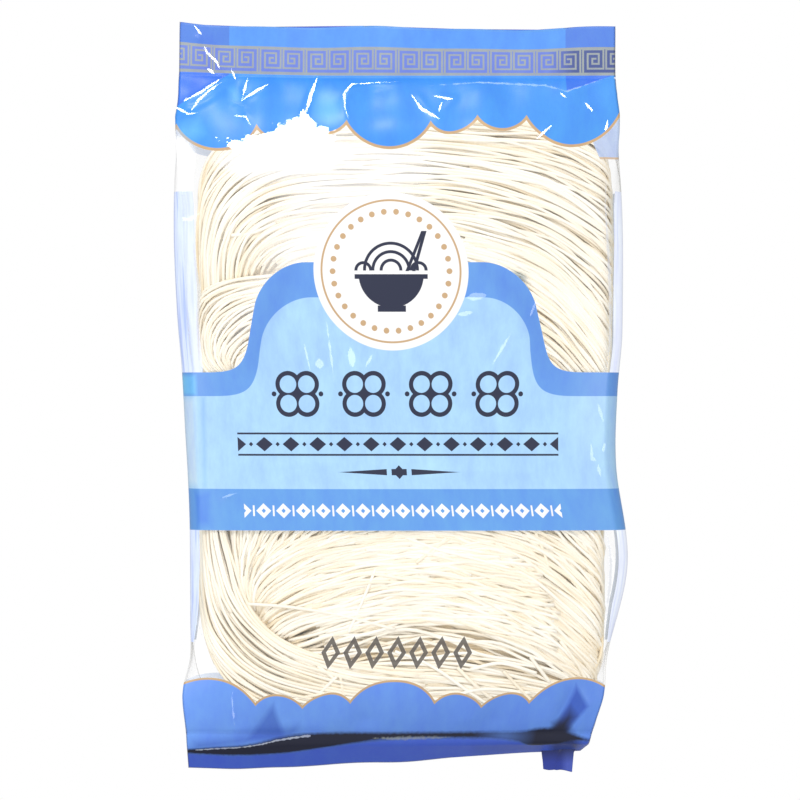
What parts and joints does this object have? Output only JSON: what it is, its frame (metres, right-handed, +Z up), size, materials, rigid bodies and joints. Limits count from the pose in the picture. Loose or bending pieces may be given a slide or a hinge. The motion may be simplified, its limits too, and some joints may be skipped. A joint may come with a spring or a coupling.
{
  "type": "sealed bag of fine dried noodles",
  "caption": "Clear side-gusseted pillow bag of fine white dried noodles, lying on its back, with flat sealed ends, one tipped down, and a printed front.",
  "frame": {"origin": "middle of the bag's underside, the bottom centre of its box", "axes": "+X across the bag to the right of its printed front, +Y along the bag towards its flat top seal, +Z up out of the printed front"},
  "size_m": [0.1434, 0.2404, 0.0317],
  "materials": {
    "printed_film": "clear glossy plastic film, with blue printing over parts of it",
    "noodle": "dry matt cream white wheat dough"
  },
  "bodies": {
    "root": {"sealed_bag": "printed_film"}
  },
  "joints": []
}
